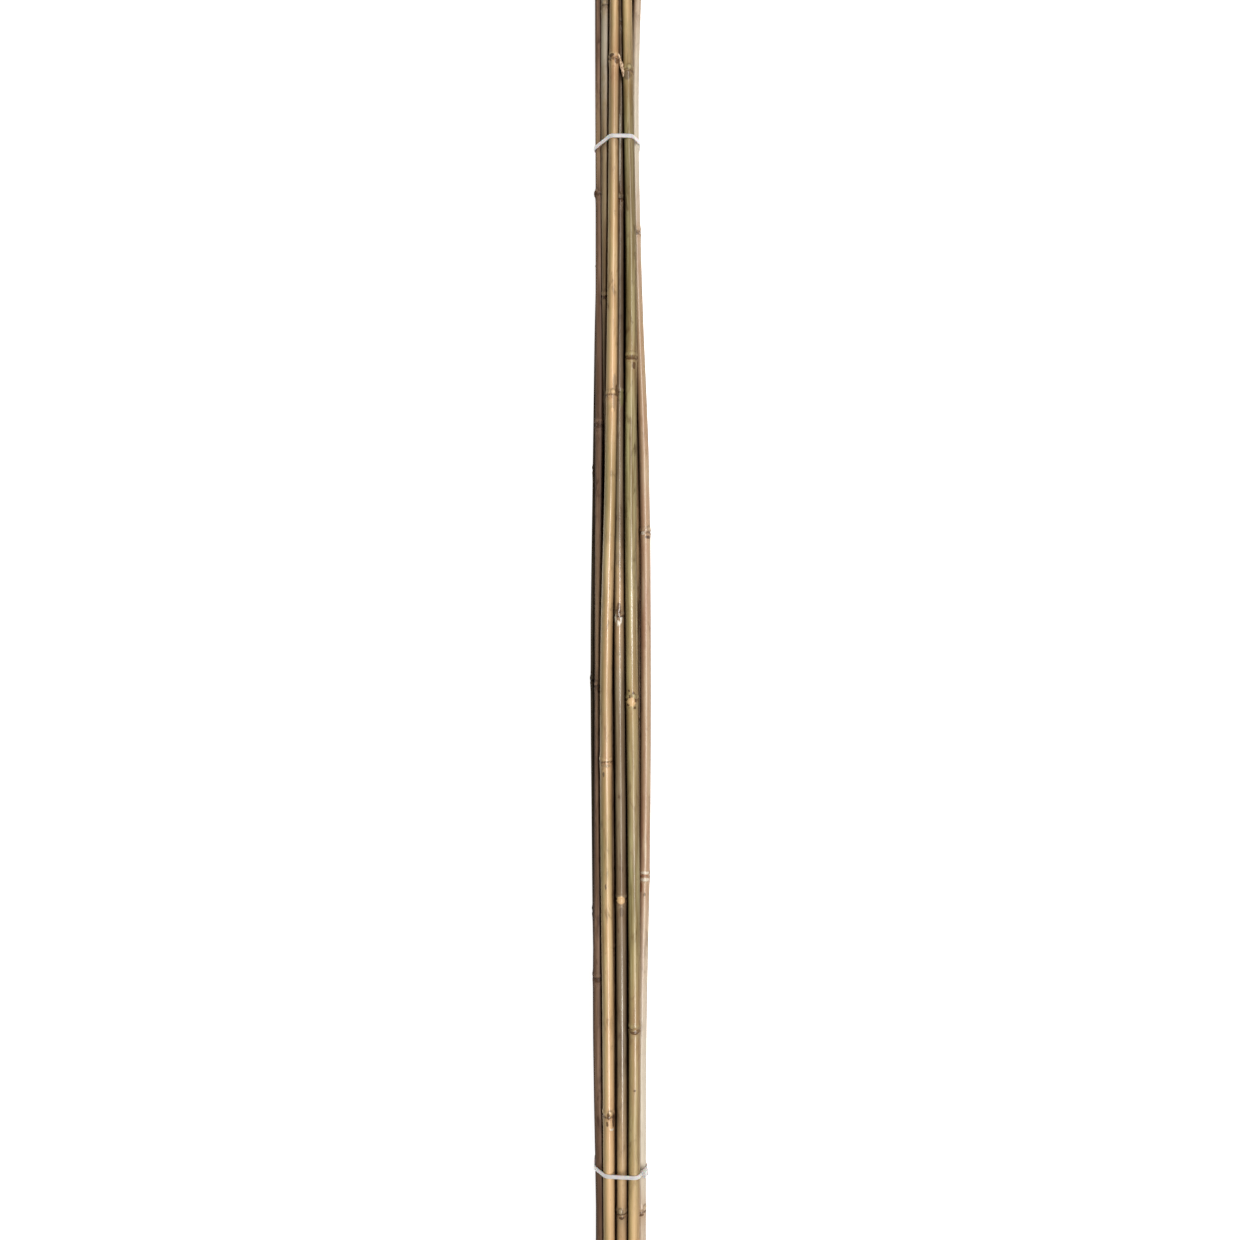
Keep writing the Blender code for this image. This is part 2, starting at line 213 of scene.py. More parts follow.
# Bamboo, common to every cane
bamboo = {
    "sides": 40,
    "hiddenSides": 28,
    "plainStep": 4.0,  # mm between rings along a cane
    "nodeStep": 0.45,  # mm between rings near a node
    "nodeReach": 16.0,
    "spotStep": 0.6,
    "lipRise": 0.30,  # of the old sheath's scar
    "ridgeRise": 0.42,  # of the swelling just tipward of it
    "flareRise": 0.32,
    "grooveDepth": 0.16,
    "fluteDepth": 0.20,  # of the flat above each bud
    "unevenness": 0.05,
    "endEdge": 0.35,
    "boreDepth": 13.0,
    "boreShare": 0.36,
    "paintedShade": (62, 32, 20),  # painted shade: the colour the sides of a cane darken to where its neighbours hide it from the light
    "skySpread": 34.0,  # degrees to either side of each cane's sky
    "sideShare": 0.7,
    "waxIor": 1.95,
    "scar": (0.11, 0.062, 0.034),  # of the nodes' lips, already as the shaders want it
}

# The tones that stretches, scars, rims and buds of any cane can have, and that a few painted highlights and
# painted shades use, in 0 to 255
bambooTones = {
    "bleached": (230, 220, 200),
    "straw": (240, 200, 150),
    "tan": (180, 150, 115),
    "greyBrown": (120, 100, 80),
    "brown": (85, 60, 45),
    "scarBrown": (105, 75, 50),
    "olive": (150, 140, 95),
    "rust": (165, 115, 85),
}

# Each cane: tones in 0 to 255, its roughness and its wax's, how strongly painted shade darkens its hidden
# sides and from where the light of that painted shade comes, in degrees from +X, patches as (place, half
# length, tone, strength), and spots, which are scars, rims and trimmed buds and a few painted highlights and
# painted shades, as (place, direction, half length, half width, tone, rise), and a painted shade of its left
# flank as a share and a tint, greener too on some canes. Each tone of a patch or spot is one of those above.
canes = {
    "cane_top_1": {
        "base": (204, 165, 118),
        "light": (236, 204, 156),
        "dark": (142, 112, 76),
        "stain": (204, 152, 112),
        "mould": (92, 70, 48),
        "gloss": 0.34,
        "wax": 0.34,
        "waxRoughness": 0.26,
        "shine": [(70, 90, 0.5), (-110, 50, 0.3), (-410, 110, 0.45)],
        "shade": 1.5,
        "sky": 82.0,
        "patches": [
            (550, 100, "tan", 0.6),
            (290, 60, "straw", 0.8),
            (170, 70, "olive", 0.4),
            (-60, 100, "tan", 0.4),
            (-190, 60, "olive", 0.4),
            (-490, 140, "straw", 0.9),
        ],
        "spots": [
            (604, 120, 1.6, 3.0, "brown", 0.15),
            (598, 60, 3.0, 2.2, "scarBrown", 0.2),
            (275, 58, 9.0, 2.2, "tan", 0.25),
            (268, 40, 6.0, 1.6, "scarBrown", -0.15),
            (254, 62, 9.0, 1.6, "tan", 0.2),
            (247, 80, 2.4, 1.5, "straw", 0.25),
            (-109, 90, 1.6, 4.5, "tan", 0.2),
            (-118, 116, 3.0, 1.2, "greyBrown", 0.05),
            (-231, 100, 3.2, 1.0, "greyBrown", 0.15),
            (-467, 38, 8.0, 1.9, "brown", 0.2),
            (-462, 92, 4.0, 1.3, "scarBrown", 0.15),
            (-470, 104, 3.0, 1.2, "scarBrown", 0.1),
            (-476, 55, 1.2, 2.2, "bleached", 0.45),
        ],
        "radius": 5.8,
        "flankShare": 0.8,
        "flankTint": (0.80, 0.92, 0.82),
        "seed": 1.0,
    },
    "cane_top_2": {
        "base": (134, 112, 86),
        "light": (178, 160, 130),
        "dark": (94, 70, 52),
        "stain": (142, 108, 82),
        "mould": (58, 42, 32),
        "gloss": 0.4,
        "wax": 0.26,
        "waxRoughness": 0.24,
        "shine": [(60, 70, 0.6), (-20, 50, 0.3), (-400, 110, 0.6)],
        "shade": 1.4,
        "sky": 92.0,
        "patches": [
            # painted shade: darker towards the tip, where this cane lies deep under its neighbours
            (430, 300, "greyBrown", 0.7),
            (50, 60, "straw", 0.6),
            (-300, 180, "greyBrown", 0.5),
            (-560, 120, "straw", 0.65),
        ],
        "spots": [
            # painted highlight: a long pale streak along the crown
            (515, 97, 38.0, 0.8, "bleached", 0.1),
            (462, 95, 2.0, 3.0, "scarBrown", 0.2),
            (262, 60, 9.0, 2.6, "olive", 0.2),
            (39, 128, 4.6, 1.0, "bleached", 0.5),
            (34, 104, 3.4, 0.9, "bleached", 0.35),
            (37, 66, 3.4, 1.0, "bleached", 0.45),
            (48, 92, 7.0, 2.4, "scarBrown", 0.2),
            (-245, 92, 4.2, 4.2, "straw", 0.35),
            (-257, 84, 5.0, 2.4, "greyBrown", 0.1),
            (-566, 92, 1.6, 2.6, "brown", 0.3),
        ],
        "radius": 5.2,
        "flankShare": 0.8,
        "flankTint": (0.96, 1.0, 0.92),
        "seed": 2.0,
    },
    "cane_top_3": {
        "base": (144, 124, 84),
        "light": (198, 184, 138),
        "dark": (108, 88, 56),
        "stain": (178, 136, 94),
        "mould": (84, 64, 42),
        "gloss": 0.3,
        "wax": 0.26,
        "waxRoughness": 0.25,
        "shine": [(50, 75, 0.75), (-390, 80, 0.45), (-190, 60, 0.2)],
        "shade": 1.4,
        "sky": 98.0,
        "patches": [
            (660, 60, "straw", 0.6),
            (480, 80, "greyBrown", 0.3),
            (0, 120, "straw", 0.25),
            (-150, 70, "tan", 0.4),
            (-400, 120, "straw", 0.4),
            (-590, 100, "straw", 0.8),
        ],
        "spots": [
            (299, 95, 1.6, 5.0, "scarBrown", 0.2),
            (292, 62, 4.0, 2.0, "scarBrown", 0.15),
            (-34, 118, 1.6, 1.0, "brown", 0.2),
            (-40, 112, 2.2, 1.1, "brown", 0.1),
            (-45, 98, 4.6, 4.6, "straw", 0.5),
            (-36, 78, 1.4, 1.2, "scarBrown", 0.1),
            (-48, 128, 1.6, 1.6, "scarBrown", -0.1),
            (-44, 60, 1.8, 1.6, "scarBrown", 0.2),
            (-51, 64, 1.8, 1.5, "scarBrown", -0.1),
            (-377, 95, 1.6, 4.6, "scarBrown", 0.25),
            (-435, 88, 1.2, 1.4, "scarBrown", 0.1),
            (584, 100, 5.0, 3.6, "greyBrown", 0.15),
        ],
        "radius": 5.8,
        "flankShare": 0.9,
        "flankTint": (0.9, 0.98, 0.86),
        "seed": 3.0,
    },
    "cane_top_4": {
        "base": (182, 144, 116),
        "light": (208, 184, 152),
        "dark": (126, 92, 68),
        "stain": (194, 156, 122),
        "mould": (96, 72, 54),
        "gloss": 0.42,
        "wax": 0.5,
        "waxRoughness": 0.3,
        "shine": [],
        "shade": 0.85,
        "sky": 84.0,
        "patches": [
            (540, 150, "bleached", 0.85),
            (300, 110, "tan", 0.6),
            (-80, 110, "tan", 0.5),
            (-470, 220, "bleached", 0.95),
        ],
        "spots": [
            (429, 96, 2.0, 3.4, "greyBrown", 0.25),
            (125, 118, 2.0, 2.2, "bleached", 0.5),
            (121, 60, 1.8, 3.2, "brown", -0.1),
            (-219, 88, 1.5, 4.6, "bleached", 0.35),
            (-222, 92, 0.9, 4.6, "rust", -0.15),
            (-226, 86, 1.8, 4.8, "bleached", 0.4),
            (-234, 126, 5.5, 2.0, "rust", 0.0),
            (-241, 88, 1.9, 1.1, "greyBrown", 0.3),
            (-568, 92, 1.5, 3.6, "scarBrown", 0.2),
        ],
        "radius": 5.4,
        "flankShare": 0.9,
        "flankTint": (0.70, 0.61, 0.56),
        "seed": 4.0,
    },
    "cane_middle_1": {
        "base": (112, 86, 68),
        "light": (150, 120, 98),
        "dark": (72, 50, 40),
        "stain": (88, 66, 52),
        "mould": (54, 40, 34),
        "gloss": 0.55,
        "wax": 0.12,
        "waxRoughness": 0.4,
        "shine": [],
        "shade": 1.7,
        "sky": 106.0,
        "patches": [
            (530, 60, "tan", 0.5),
            (270, 150, "brown", 0.5),
            (30, 110, "tan", 0.4),
            (-560, 90, "brown", 0.7),
        ],
        "spots": [
            # painted shade: a long dark band down the left flank
            (-310, 162, 250.0, 2.8, "brown", 0.0),
            (475, 158, 3.0, 3.2, "brown", 1.5),
            (235, 100, 1.6, 3.0, "brown", 0.2),
            (-34, 100, 4.0, 1.6, "brown", 0.3),
            (-330, 100, 1.6, 3.4, "brown", 0.2),
        ],
        "radius": 4.9,
        "flankShare": 0.5,
        "flankTint": (0.94, 1.0, 1.0),
        "seed": 5.0,
    },
    "cane_middle_2": {
        "base": (158, 130, 98),
        "light": (190, 166, 132),
        "dark": (112, 88, 62),
        "stain": (150, 118, 88),
        "mould": (74, 56, 42),
        "gloss": 0.45,
        "wax": 0.25,
        "waxRoughness": 0.3,
        "shine": [],
        "shade": 1.6,
        "sky": 84.0,
        "patches": [
            (640, 80, "bleached", 0.85),
            (300, 120, "greyBrown", 0.5),
        ],
        "spots": [
            (364, 100, 2.0, 3.4, "brown", 0.2),
        ],
        "radius": 4.8,
        "flankShare": 0.6,
        "flankTint": (0.94, 1.0, 0.86),
        "seed": 6.0,
    },
    "cane_middle_3": {
        "base": (130, 104, 80),
        "light": (186, 164, 130),
        "dark": (88, 66, 48),
        "stain": (134, 102, 76),
        "mould": (60, 46, 36),
        "gloss": 0.5,
        "wax": 0.3,
        "waxRoughness": 0.3,
        "shine": [],
        "shade": 1.1,
        "sky": 84.0,
        "patches": [
            (110, 70, "straw", 0.6),
            (40, 30, "brown", 0.7),
        ],
        "spots": [],
        "radius": 4.8,
        "flankShare": 0.6,
        "flankTint": (0.94, 1.0, 0.9),
        "seed": 7.0,
    },
    "cane_bottom_1": {
        "base": (76, 66, 54),
        "light": (104, 92, 78),
        "dark": (40, 32, 24),
        "stain": (52, 40, 30),
        "mould": (28, 22, 18),
        "gloss": 0.6,
        "wax": 0.0,
        "waxRoughness": 0.5,
        "shine": [],
        "shade": 1.1,
        "sky": 100.0,
        "patches": [],
        "spots": [],
        "radius": 4.9,
        "flankShare": 0.5,
        "flankTint": (0.94, 1.0, 0.96),
        "seed": 8.0,
    },
    "cane_bottom_2": {
        "base": (176, 146, 104),
        "light": (214, 190, 146),
        "dark": (124, 96, 66),
        "stain": (168, 128, 92),
        "mould": (82, 64, 46),
        "gloss": 0.42,
        "wax": 0.35,
        "waxRoughness": 0.3,
        "shine": [],
        "shade": 1.1,
        "sky": 90.0,
        "patches": [
            (0, 200, "olive", 0.5),
        ],
        "spots": [],
        "radius": 4.9,
        "flankShare": 0.6,
        "flankTint": (0.94, 1.0, 0.88),
        "seed": 9.0,
    },
    "cane_bottom_3": {
        "base": (158, 142, 102),
        "light": (204, 192, 150),
        "dark": (110, 90, 60),
        "stain": (160, 124, 88),
        "mould": (76, 60, 42),
        "gloss": 0.42,
        "wax": 0.35,
        "waxRoughness": 0.3,
        "shine": [],
        "shade": 1.1,
        "sky": 90.0,
        "patches": [
            (250, 160, "tan", 0.5),
        ],
        "spots": [],
        "radius": 4.9,
        "flankShare": 0.6,
        "flankTint": (0.94, 1.0, 0.88),
        "seed": 10.0,
    },
    "cane_bottom_4": {
        "base": (178, 140, 104),
        "light": (216, 186, 146),
        "dark": (124, 92, 66),
        "stain": (172, 130, 96),
        "mould": (82, 62, 46),
        "gloss": 0.42,
        "wax": 0.35,
        "waxRoughness": 0.3,
        "shine": [],
        "shade": 1.1,
        "sky": 90.0,
        "patches": [
            (-300, 140, "olive", 0.5),
        ],
        "spots": [],
        "radius": 4.9,
        "flankShare": 0.6,
        "flankTint": (0.94, 1.0, 0.88),
        "seed": 11.0,
    },
}


def readCane(node):
    # What the frame says of a cane, in millimetres: its rings from butt to tip, and its nodes
    points = np.array([vert.co for vert in node.data.vertices]) / mm
    points = np.unique(np.round(points, 3), axis=0)
    rings = []
    loose = []
    for place in np.unique(points[:, 1]):
        group = points[points[:, 1] == place][:, [0, 2]]
        if len(group) < 12:
            loose += [(place, x, z) for x, z in group]
            continue
        away = np.linalg.norm(group - group.mean(axis=0), axis=1)
        outer = group[np.argsort(away)[-12:]]
        middle = outer.mean(axis=0)
        rings.append((place, *middle, np.linalg.norm(outer - middle, axis=1).mean()))
    rings = np.array(rings)
    rings = rings[rings[:, 3] > 0.7 * np.median(rings[:, 3])]
    loose = np.array(sorted(loose))
    stubs = np.split(loose, np.where(np.diff(loose[:, 0]) > 8.0)[0] + 1)
    nodes = []
    for stub in stubs:
        place, x, z = stub.mean(axis=0)
        middle = [np.interp(place, rings[:, 0], rings[:, k]) for k in (1, 2)]
        nodes.append((place - 5.75, math.atan2(z - middle[1], x - middle[0])))
    return rings, nodes


frameCanes = {name: readCane(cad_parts[name]) for name in canes}


def seenFrom(middle, spread, others, across, above, turns):
    # How much light each point gets past the other canes from round one direction: 1 on an open crown
    lobe = np.arange(middle - 68.0, middle + 69.0, 8.0)
    weights = np.exp(-(((lobe - middle) / spread) ** 2))
    whole = (weights * np.cos(np.radians(lobe - middle))).sum()
    seen = np.zeros_like(turns)
    for angle, weight in zip(np.radians(lobe), weights):
        free = np.ones(turns.shape, dtype=bool)
        for x, z, radius in others:
            ahead = (x - across) * math.cos(angle) + (z - above) * math.sin(angle)
            aside = (z - above) * math.cos(angle) - (x - across) * math.sin(angle)
            free &= (ahead < 0) | (np.abs(aside) > radius)
        seen += weight * free * np.clip(np.cos(turns - angle), 0, None)
    return seen / whole


def seenSky(name, places, across, above, turns):
    # Light from above, or less of it from an open side, so that only the gaps between canes are dark
    others = []
    for other, (rings, _) in frameCanes.items():
        if other != name:
            others.append([np.interp(places, rings[:, 0], rings[:, k])[:, None] for k in (1, 2, 3)])
    seen = seenFrom(canes[name]["sky"], bamboo["skySpread"], others, across, above, turns)
    for middle in (0.0, 180.0, 270.0):
        beside = seenFrom(middle, bamboo["skySpread"], others, across, above, turns)
        seen = np.maximum(seen, beside * bamboo["sideShare"])
    return np.clip(seen, 0, 1)


def smoothLine(places, rings, column):
    # A ring value at places along the cane, with the frame's corners rounded off
    fine = np.arange(rings[0, 0] - 60.0, rings[-1, 0] + 60.0, 2.0)
    ends = ((4, 0), (-1, -5))
    slope = [(rings[k, column] - rings[m, column]) / (rings[k, 0] - rings[m, 0]) for k, m in ends]
    values = np.interp(fine, rings[:, 0], rings[:, column])
    before = fine < rings[0, 0]
    after = fine > rings[-1, 0]
    values[before] = rings[0, column] + slope[0] * (fine[before] - rings[0, 0])
    values[after] = rings[-1, column] + slope[1] * (fine[after] - rings[-1, 0])
    weights = np.exp(-((np.arange(-12, 13) / 6.0) ** 2))
    values[12:-12] = np.convolve(values, weights / weights.sum(), mode="valid")
    return np.interp(places, fine, values)


def plainRings(rings, nodes):
    # The rings that no node swells, without the chamfered ends
    far = np.ones(len(rings), dtype=bool)
    for place, _ in nodes:
        far &= np.abs(rings[:, 0] - place) > 8.5
    far[[0, -1]] = False
    return rings[far]


def ringPlaces(butt, tip, nodes, spots):
    places = list(np.arange(butt + 1.5, tip - 1.0, bamboo["plainStep"]))
    reach = bamboo["nodeReach"]
    for place, _ in nodes:
        places = [p for p in places if abs(p - place) > reach]
        places += list(np.arange(place - reach, place + reach, bamboo["nodeStep"]))
    for place, _, long, _, _, _ in spots:
        places += list(np.arange(place - 1.8 * long, place + 1.8 * long, max(bamboo["spotStep"], long / 12)))
    places = [p for p in places if butt + 0.8 < p < tip - 0.8]
    edge = bamboo["endEdge"]
    places += [butt, butt + 0.12, butt + edge, tip - edge, tip - 0.12, tip]
    places = np.array(sorted(places))
    return places[np.concatenate(([True], np.diff(places) > 0.1))]


def wave(turns, count, seed):
    # An uneven line round the cane that closes on itself
    line = np.zeros_like(turns)
    for k in range(1, count + 1):
        line += math.sin(seed * 12.9 * k + k) * np.cos(k * turns + seed * 4.1 * k) / k
    return line


def addNode(rise, marks, along, turns, place, bud, radius, seed):
    # One node: the flare below it, the thin lip where the leaf sheath came off, the groove and the ridge
    lip = along - place - 0.8 * np.cos(turns - bud) - 1.1 * wave(turns, 8, seed)
    ridge = along - place - 5.0 - 1.1 * wave(turns, 6, seed + 3.0)
    apart = np.abs((turns - bud + math.pi) % (2 * math.pi) - math.pi)
    lipShape = np.where(lip < 0, np.exp(-((lip / 1.1) ** 2)), np.exp(-((lip / 0.4) ** 2)))
    ridgeShape = np.exp(-((ridge / np.where(ridge < 0, 1.3, 2.4)) ** 2))
    groove = np.exp(-(((along - place - 2.2 - 0.8 * wave(turns, 7, seed + 1.0)) / 0.9) ** 2))
    flare = np.exp(-(((along - place) / 6.0) ** 2))
    ragged = 1.0 + 0.7 * wave(turns, 9, seed + 7.0)
    rise += bamboo["lipRise"] * ragged * lipShape
    rise += bamboo["ridgeRise"] * (1.0 + 0.5 * wave(turns, 6, seed)) * ridgeShape
    rise += bamboo["flareRise"] * flare - bamboo["grooveDepth"] * groove
    above = along - place
    flute = np.exp(-((apart / 0.55) ** 2)) * np.clip((above - 7.0) / 14.0, 0, 1)
    flute *= np.exp(-np.clip(above, 0, None) / 95.0)
    rise -= bamboo["fluteDepth"] * np.where(above > 0, flute, 0.0)
    rise += 0.5 * np.exp(-((apart * radius / 1.9) ** 2) - ((above - 5.2) / 2.6) ** 2)
    outerLine = np.exp(-(((ridge - 2.6) / 0.7) ** 2)) * np.clip(0.6 + wave(turns, 6, seed + 5.0), 0, 1)
    marks["lip"] = np.maximum(marks["lip"], np.exp(-(((lip - 0.2) / 0.9) ** 2)) * np.clip(ragged, 0.1, 1.3))
    marks["lip"] = np.maximum(marks["lip"], 0.6 * outerLine)
    marks["groove"] = np.maximum(marks["groove"], groove)
    marks["ridge"] = np.maximum(marks["ridge"], ridgeShape)
    powder = np.where(above < 0, np.exp(-(((above + 5.0) / 5.5) ** 2)), 0.0)
    marks["bloom"] = np.maximum(marks["bloom"], powder)
    marks["stain"] = np.maximum(marks["stain"], np.exp(-np.abs(above) / np.where(above < 0, 22.0, 16.0)))
    marks["zone"] = np.maximum(marks["zone"], np.exp(-(((above - 1.5) / 6.5) ** 2)))
    budShape = np.exp(-((apart * radius / 1.5) ** 2) - ((above - 5.4) / 2.3) ** 2)
    marks["bud"] = np.maximum(marks["bud"], budShape)
    rim = np.exp(-(((np.hypot(apart * radius / 2.2, (above - 5.3) / 3.2) - 1.0) / 0.28) ** 2))
    marks["budRim"] = np.maximum(marks["budRim"], rim)


def addSpot(rise, share, tones, along, turns, radius, spot):
    place, turn, long, wide, tone, lift = spot
    apart = np.abs((turns - math.radians(turn) + math.pi) % (2 * math.pi) - math.pi) * radius
    shape = np.exp(-(((apart / wide) ** 2 + ((along - place) / long) ** 2) ** 1.5))
    rise += lift * shape
    stronger = shape > share
    share[stronger] = shape[stronger]
    tones[stronger & (shape > 0.01)] = srgb(bambooTones[tone])


def endRing(middle, size, turns, place):
    # A round ring about the middle of a cut end
    across = middle[0] + size * np.cos(turns)
    above = middle[1] + size * np.sin(turns)
    return np.stack((across, np.full(len(turns), place), above), axis=-1)


def makeSkin(name):
    # The whole cane as one fine closed mesh, with what the material needs kept in it
    rings, nodes = frameCanes[name]
    plain = plainRings(rings, nodes)
    butt, tip = rings[0, 0], rings[-1, 0]
    places = ringPlaces(butt, tip, nodes, canes[name]["spots"])
    hidden = name in ("cane_bottom_2", "cane_bottom_3", "cane_bottom_4")
    sides = bamboo["hiddenSides"] if hidden else bamboo["sides"]
    turns = np.arange(sides) * 2 * math.pi / sides
    along, around = np.meshgrid(places, turns, indexing="ij")
    middles = [smoothLine(places, rings, 1), smoothLine(places, rings, 2)]
    radius = np.interp(places, plain[:, 0], plain[:, 3])
    seed = canes[name]["seed"]
    rise = np.zeros_like(along)
    names = ("lip", "groove", "ridge", "bloom", "stain", "zone", "bud", "budRim", "spot")
    marks = {mark: np.zeros_like(along) for mark in names}
    for count, (place, bud) in enumerate(nodes):
        addNode(rise, marks, along, around, place, bud, np.interp(place, places, radius), seed + count)
    tones = np.zeros((*along.shape, 3))
    for spot in canes[name]["spots"]:
        addSpot(rise, marks["spot"], tones, along, around, radius[:, None], spot)
    for k in range(1, 6):
        phase = seed * 3.7 * k
        drift = 0.9 * np.sin(along / (60.0 + 11 * k) + phase)
        rise += bamboo["unevenness"] / k * np.sin(k * around + phase + drift)
    reach = radius[:, None] + rise
    edge = np.minimum(along - butt, tip - along)
    reach = reach - np.clip(bamboo["endEdge"] - edge, 0, None)
    across = middles[0][:, None] + reach * np.cos(around)
    above = middles[1][:, None] + reach * np.sin(around)
    marks["seen"] = seenSky(name, places, across, above, around)
    verts = np.stack((across, along, above), axis=-1).reshape(-1, 3)
    kept = {mark: values.reshape(-1) for mark, values in marks.items()}
    straight = (radius[:, None] * np.cos(around), along, radius[:, None] * np.sin(around))
    round3 = np.stack(straight, axis=-1).reshape(-1, 3)
    first = np.arange(len(places) - 1)[:, None] * sides
    here = np.arange(sides)[None, :]
    after = (here + 1) % sides
    corners = (first + after, first + here, first + sides + here, first + sides + after)
    walls = np.stack(corners, axis=-1).reshape(-1, 4)

    # The ends: a bore at the butt, down to the first partition, and a closed tip with a pith in it
    bore = bamboo["boreShare"] * radius[0]
    buttMiddle = np.array((middles[0][0], middles[1][0]))
    inner = [(butt + 0.02, bore * 2.0), (butt + 0.05, bore * 1.25), (butt + 0.12, bore * 1.02)]
    inner += [(butt + 1.2, bore), (butt + bamboo["boreDepth"], bore * 0.97)]
    inner += [(butt + bamboo["boreDepth"] + 0.4, bore * 0.5)]
    tipInner = [(tip, radius[-1] * 0.6), (tip - 0.05, radius[-1] * 0.3), (tip - 0.5, radius[-1] * 0.16)]
    faces = [walls]
    extra = []
    count = len(verts)
    previous = np.arange(sides)
    for place, size in inner:
        extra.append(endRing(buttMiddle, size, turns, place))
        current = count + np.arange(sides)
        faces.append(np.stack((previous, np.roll(previous, -1), np.roll(current, -1), current), axis=-1))
        previous = current
        count += sides
    buttLast = previous
    previous = np.arange(sides) + (len(places) - 1) * sides
    tipMiddle = (middles[0][-1], middles[1][-1])
    for place, size in tipInner:
        extra.append(endRing(tipMiddle, size, turns, place))
        current = count + np.arange(sides)
        faces.append(np.stack((np.roll(previous, -1), previous, current, np.roll(current, -1)), axis=-1))
        previous = current
        count += sides
    extra = np.concatenate(extra)
    verts = np.concatenate((verts, extra))
    round3 = np.concatenate((round3, extra))
    kept = {mark: np.concatenate((values, np.zeros(len(extra)))) for mark, values in kept.items()}
    tones = np.concatenate((tones.reshape(-1, 3), np.zeros((len(extra), 3))))
    quads = np.concatenate(faces)
    mesh = bpy.data.meshes.new(name + "_skin")
    polygons = quads.tolist() + [buttLast.tolist(), previous.tolist()[::-1]]
    mesh.from_pydata((verts * mm).tolist(), [], polygons)
    material = np.zeros(len(polygons), dtype=np.int32)
    material[len(walls):] = 1
    mesh.polygons.foreach_set("material_index", material)
    for mark, values in kept.items():
        mesh.attributes.new(mark, "FLOAT", "POINT").data.foreach_set("value", values.astype(np.float32))
    for mark, values in (("skin", round3), ("spotTone", tones)):
        attribute = mesh.attributes.new(mark, "FLOAT_VECTOR", "POINT")
        attribute.data.foreach_set("vector", values.astype(np.float32).reshape(-1))
    mesh.update()
    mesh.shade_smooth()
    mesh.set_sharp_from_angle(angle=math.radians(50))
    made = bpy.data.objects.new(name + "_skin", mesh)
    bpy.context.scene.collection.objects.link(made)
    return made


